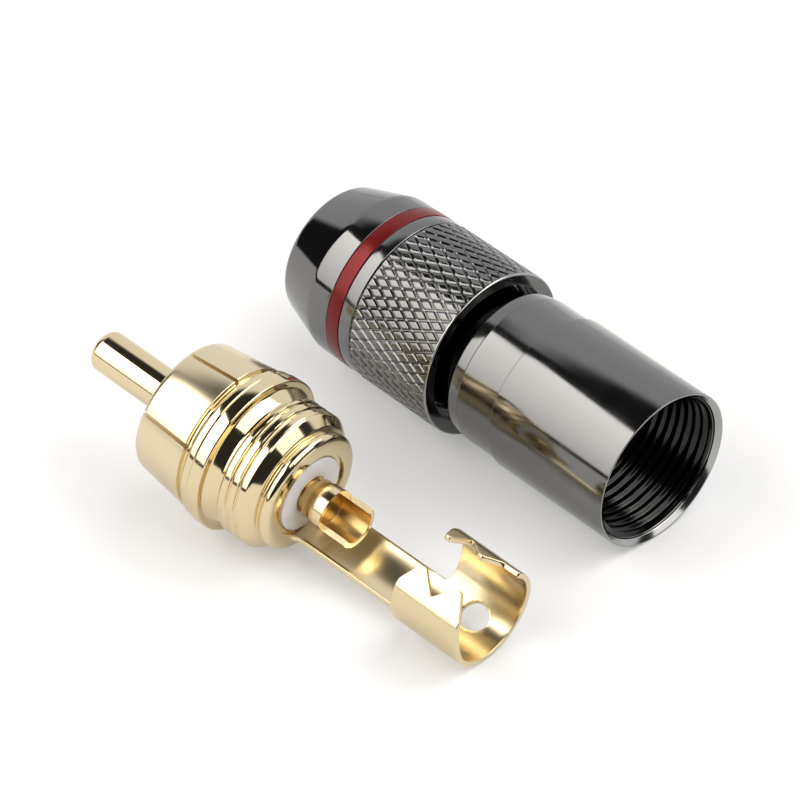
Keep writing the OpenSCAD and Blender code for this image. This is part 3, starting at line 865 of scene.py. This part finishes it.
sleeve_outline = softened(
    [(DISH_FOOT, DISH_FOOT_R, 0.03), (DISH_FACE, DISH_FACE_R, 0.04),
     (LIP, LIP_R, 0.05), (LIP_ROUND, LIP_ROUND_R, 0.04), (LIP_SIDE, LIP_SIDE_R, 0.03)]
    + stretch(GRIP_START, GRIP_END, SLEEVE_R, KNURL_LEAD / KNURL_SAMPLES)
    + [(GRIP_FOOT, GRIP_FOOT_R, 0.03), (GRIP_FOOT_END, GRIP_FOOT_R, 0.03), (LAND_START, LAND_R, 0.06),
       (SLEEVE_END, LAND_R, 0.06), (SLEEVE_END, PLUG_BORE_R, 0.03), (PLUG_START, PLUG_BORE_R, 0.03),
       (PLUG_START, SPIGOT_RUN_R, 0.03), (RECESS, SPIGOT_RUN_R, 0.08), (RECESS, DISH_R, 0.08),
       (DISH_EDGE, DISH_R, 0.04)])


def v_groove(phase):
    """Depth of a V groove that lies at each whole number, from 0 at its edge to 1 in its middle."""
    return max(0, 1 - abs(phase - round(phase)) / GROOVE_SHARE)


def diamond_knurl(x, r, angle):
    """Two crossing sets of V grooves on the grip, which leave raised lozenges."""
    if abs(r - SLEEVE_R) > ON_CREST:
        return r
    turn = KNURL_COUNT * angle / (2 * math.pi)
    along = (x - GRIP_START) / KNURL_LEAD
    ease = smooth_step((GRIP_START - x) / KNURL_EASE)
    return r - ease * KNURL_DEPTH * max(v_groove(turn + along), v_groove(turn - along))


sleeve_mesh = turned("grip_sleeve", sleeve_outline, steps=KNURL_COUNT * KNURL_SAMPLES, shape=diamond_knurl)
grip_sleeve = finished("grip_sleeve_knurled", sleeve_mesh,
                       shell_place, "tail_cap", "grip_sleeve", sharp=38)
# Both edges of the lip are painted lighter, a painted highlight in place of the light that they reflect
LIP_ZONE_START = -17.13
LIP_INNER_R = 5.64
LIP_OUTER_R = 6.44
LIP_POLISH = 0.16
grip_chrome = plated_metal("black_chrome_grip", CHROME_THIN, CHROME_THICK,
                           smooth=0.09, rough=0.16, rings=7000, bump=0.05)
at_lip = ("Station", "GREATER_THAN", LIP_ZONE_START)
for lip_edge in (("Radius", "LESS_THAN", LIP_INNER_R), ("Radius", "GREATER_THAN", LIP_OUTER_R)):
    # Painted highlight on the inner and outer edge of the lip
    zone_finish(grip_chrome, [at_lip, lip_edge], EDGE_PAINTED_HIGHLIGHT, LIP_POLISH)
coated(grip_sleeve, grip_chrome)


# Colour ring
# A narrow aluminium ring, dyed red with a satin turned finish, trapped between sleeve and tail.
# It marks the channel, and thin gaps set it off at both sides.
RING_R = 6.52
RING_HOLE_R = 5.35
RING_FRONT = -26.1
RING_REAR = -27.3
RED_THIN = (0.175, 0.007, 0.008)
RED_THICK = (0.145, 0.005, 0.006)
colour_outline = softened([(RING_FRONT, RING_R, 0.06), (RING_REAR, RING_R, 0.06),
                           (RING_REAR, RING_HOLE_R, 0.05), (RING_FRONT, RING_HOLE_R, 0.05)])
colour_ring = finished("colour_ring_dyed", turned("colour_ring", colour_outline, steps=256),
                       shell_place, "band", "colour_ring")
ring_red = plated_metal("red_ring", RED_THIN, RED_THICK, smooth=0.22, rough=0.30, rings=16000, bump=0.25)
ring_surface = ring_red.node_tree.nodes["Principled BSDF"]
ring_surface.inputs["Metallic"].default_value = 0.4
ring_surface.inputs["Specular IOR Level"].default_value = 0.35
coated(colour_ring, ring_red)


# Tail cone
# The cable end of the cap, a turned black chrome piece that plugs into the sleeve through the colour ring.
# A short land leads into a straight taper with a rounded end, and the cable bore runs through it.
TAIL_LAND_R = 6.5
TAIL_START = -27.35
TAIL_LAND_END = -29.25
TAIL_END = -33.35
TAIL_END_R = 5.2
TAIL_PLUG_R = 5.3
CONE_R = 4.85
CONE_END = -28.55
CABLE_R = 4.0
tail_outline = softened(
    [(PLUG_START, CONE_R, 0.05), (PLUG_START, TAIL_PLUG_R, 0.1), (TAIL_START, TAIL_PLUG_R, 0.02),
     (TAIL_START, TAIL_LAND_R, 0.06), (TAIL_LAND_END, TAIL_LAND_R, 0.25), (TAIL_END, TAIL_END_R, 0.6),
     (TAIL_END, CABLE_R, 0.25), (CONE_END, CABLE_R, 0.1)], steps=6)
tail_cone = finished("tail_cone_plated", turned("tail_cone", tail_outline, steps=256),
                     shell_place, "tail_cap", "tail_cone")
coated(tail_cone, plated_metal("black_chrome_tail", CHROME_THIN, CHROME_THICK,
                               smooth=0.06, rough=0.11, rings=7000, bump=0.06))


# Floor
# A wide sheet of white paper that the plug lies on. It shows white to the camera and a little dimmer
# in reflections, and keeps the soft shadow that the plug casts.
FLOOR_HALF = 3.0
FLOOR_LEVEL = -0.00001
FLOOR_WHITE = (0.62, 0.62, 0.625)
FLOOR_GLOW = 0.29
REFLECTED_GLOW = 0.2
floor_sides = ((-1, -1), (1, -1), (1, 1), (-1, 1))
floor_corners = [(x * FLOOR_HALF, y * FLOOR_HALF, FLOOR_LEVEL) for x, y in floor_sides]
floor_mesh = bpy.data.meshes.new("floor")
floor_mesh.from_pydata(floor_corners, [], [(0, 1, 2, 3)])
floor = bpy.data.objects.new("floor", floor_mesh)
bpy.context.scene.collection.objects.link(floor)
paper = bpy.data.materials.new("white_paper")
paper.use_nodes = True
paper_nodes = paper.node_tree.nodes
paper_link = paper.node_tree.links.new
paper_nodes.remove(paper_nodes["Principled BSDF"])
matt = paper_nodes.new("ShaderNodeBsdfDiffuse")
matt.inputs["Color"].default_value = (*FLOOR_WHITE, 1)
glow = paper_nodes.new("ShaderNodeEmission")
seen = paper_nodes.new("ShaderNodeLightPath")
brightest = paper_nodes.new("ShaderNodeMath")
brightest.operation = "MULTIPLY"
brightest.inputs[1].default_value = FLOOR_GLOW
paper_link(seen.outputs["Is Camera Ray"], brightest.inputs[0])
for kind in ("Is Glossy Ray", "Is Transmission Ray"):
    indirect = paper_nodes.new("ShaderNodeMath")
    indirect.operation = "MULTIPLY"
    indirect.inputs[1].default_value = REFLECTED_GLOW
    brighter = paper_nodes.new("ShaderNodeMath")
    brighter.operation = "MAXIMUM"
    paper_link(seen.outputs[kind], indirect.inputs[0])
    paper_link(brightest.outputs[0], brighter.inputs[0])
    paper_link(indirect.outputs[0], brighter.inputs[1])
    brightest = brighter
both = paper_nodes.new("ShaderNodeAddShader")
paper_link(brightest.outputs[0], glow.inputs["Strength"])
paper_link(matt.outputs[0], both.inputs[0])
paper_link(glow.outputs[0], both.inputs[1])
paper_link(both.outputs[0], paper_nodes["Material Output"].inputs["Surface"])
floor_mesh.materials.append(paper)


# Studio
# A large soft box to the left of the camera, three smaller ones to the right, and a white wall
# behind the plug. The rest of the room is dark, so that polished metal shows dark bands between bright ones.
LAMP_WHITE = (1.0, 0.98, 0.95)


def heading(azimuth, elevation):
    """Unit vector towards an azimuth, from -Y to +X, and an elevation, both in degrees."""
    a, e = math.radians(azimuth), math.radians(elevation)
    return Vector((math.sin(a) * math.cos(e), -math.cos(a) * math.cos(e), math.sin(e)))


def soft_box(name, azimuth, elevation, distance, width, height, radiance, top=1.0):
    """Area lamp that faces the plug. Its power follows from its radiance, which grows to its top edge."""
    lamp = bpy.data.lights.new(name, "AREA")
    lamp.shape = "RECTANGLE"
    lamp.size = width
    lamp.size_y = height
    lamp.energy = radiance * math.pi * width * height
    lamp.color = LAMP_WHITE
    lamp.use_nodes = True
    lamp_nodes = lamp.node_tree.nodes
    lamp_link = lamp.node_tree.links.new
    on_lamp = lamp_nodes.new("ShaderNodeNewGeometry")
    lamp_axes = lamp_nodes.new("ShaderNodeSeparateXYZ")
    grade = lamp_nodes.new("ShaderNodeMapRange")
    grade.inputs["To Min"].default_value = 1.0
    grade.inputs["To Max"].default_value = top
    lamp_link(on_lamp.outputs["Parametric"], lamp_axes.inputs[0])
    lamp_link(lamp_axes.outputs["Y"], grade.inputs["Value"])
    lamp_link(grade.outputs["Result"], lamp_nodes["Emission"].inputs["Strength"])
    box = bpy.data.objects.new(name, lamp)
    box.location = heading(azimuth, elevation) * distance
    box.rotation_euler = (-heading(azimuth, elevation)).to_track_quat("-Z", "Y").to_euler()
    bpy.context.scene.collection.objects.link(box)


soft_box("key_box", azimuth=-29, elevation=34, distance=0.9, width=1.0, height=1.0, radiance=1.92, top=2.0)
soft_box("top_box", azimuth=105, elevation=64, distance=1.1, width=1.0, height=0.8, radiance=2.2)
soft_box("fill_box", azimuth=112, elevation=34, distance=1.2, width=0.8, height=0.5, radiance=1.8)
soft_box("back_box", azimuth=155, elevation=52, distance=1.1, width=0.9, height=0.6, radiance=2.6)

WALL_AZIMUTH = -150
WALL_HALF = 59
WALL_SIDE_BLUR = 3
WALL_TOP = 55
WALL_TOP_BLUR = 5
ROOM_DARK = (0.028, 0.028, 0.028)
WALL_WHITE = (0.92, 0.92, 0.93)
room = bpy.data.worlds.new("studio")
bpy.context.scene.world = room
room.use_nodes = True
room_nodes = room.node_tree.nodes
room_link = room.node_tree.links.new
ray = room_nodes.new("ShaderNodeTexCoord")
turn_room = room_nodes.new("ShaderNodeVectorRotate")
turn_room.rotation_type = "Z_AXIS"
turn_room.inputs["Angle"].default_value = -math.radians(WALL_AZIMUTH)
axes = room_nodes.new("ShaderNodeSeparateXYZ")
backwards = room_nodes.new("ShaderNodeMath")
backwards.operation = "MULTIPLY"
backwards.inputs[1].default_value = -1
bearing = room_nodes.new("ShaderNodeMath")
bearing.operation = "ARCTAN2"
either_side = room_nodes.new("ShaderNodeMath")
either_side.operation = "ABSOLUTE"
across = room_nodes.new("ShaderNodeMapRange")
across.interpolation_type = "SMOOTHSTEP"
across.inputs["From Min"].default_value = math.radians(WALL_HALF + WALL_SIDE_BLUR)
across.inputs["From Max"].default_value = math.radians(WALL_HALF - WALL_SIDE_BLUR)
upward = room_nodes.new("ShaderNodeMapRange")
upward.interpolation_type = "SMOOTHSTEP"
upward.inputs["From Min"].default_value = math.sin(math.radians(WALL_TOP + WALL_TOP_BLUR))
upward.inputs["From Max"].default_value = math.sin(math.radians(WALL_TOP - WALL_TOP_BLUR))
wall_mask = room_nodes.new("ShaderNodeMath")
wall_mask.operation = "MULTIPLY"
shade = room_nodes.new("ShaderNodeMix")
shade.data_type = "RGBA"
shade.inputs["A"].default_value = (*ROOM_DARK, 1)
shade.inputs["B"].default_value = (*WALL_WHITE, 1)
room_link(ray.outputs["Generated"], turn_room.inputs["Vector"])
room_link(turn_room.outputs["Vector"], axes.inputs[0])
room_link(axes.outputs["Y"], backwards.inputs[0])
room_link(axes.outputs["X"], bearing.inputs[0])
room_link(backwards.outputs[0], bearing.inputs[1])
room_link(bearing.outputs[0], either_side.inputs[0])
room_link(either_side.outputs[0], across.inputs["Value"])
room_link(axes.outputs["Z"], upward.inputs["Value"])
room_link(across.outputs["Result"], wall_mask.inputs[0])
room_link(upward.outputs["Result"], wall_mask.inputs[1])
room_link(wall_mask.outputs[0], shade.inputs["Factor"])
room_link(shade.outputs["Result"], room_nodes["Background"].inputs["Color"])


# Camera
# Where the photograph was taken from, by a fit to the plug's own circles and axes.
# It looks at the middle of both halves through a long lens.
CAMERA_AZIMUTH = 46.46
CAMERA_ELEVATION = 39.32
CAMERA_DISTANCE = 0.3251
CAMERA_TARGET = Vector((-2.18, 2.52, 5.0)) * MM
FOCAL_PIXELS = 4572
FRAME_PIXELS = 800
lens = bpy.data.cameras.new("camera")
lens.sensor_width = 36
lens.lens = lens.sensor_width * FOCAL_PIXELS / FRAME_PIXELS
lens.clip_start = 0.01
camera = bpy.data.objects.new("camera", lens)
camera.location = CAMERA_TARGET + heading(CAMERA_AZIMUTH, CAMERA_ELEVATION) * CAMERA_DISTANCE
camera.rotation_euler = heading(CAMERA_AZIMUTH, CAMERA_ELEVATION).to_track_quat("Z", "Y").to_euler()
bpy.context.scene.collection.objects.link(camera)
bpy.context.scene.camera = camera
bpy.context.scene.view_settings.view_transform = "Standard"
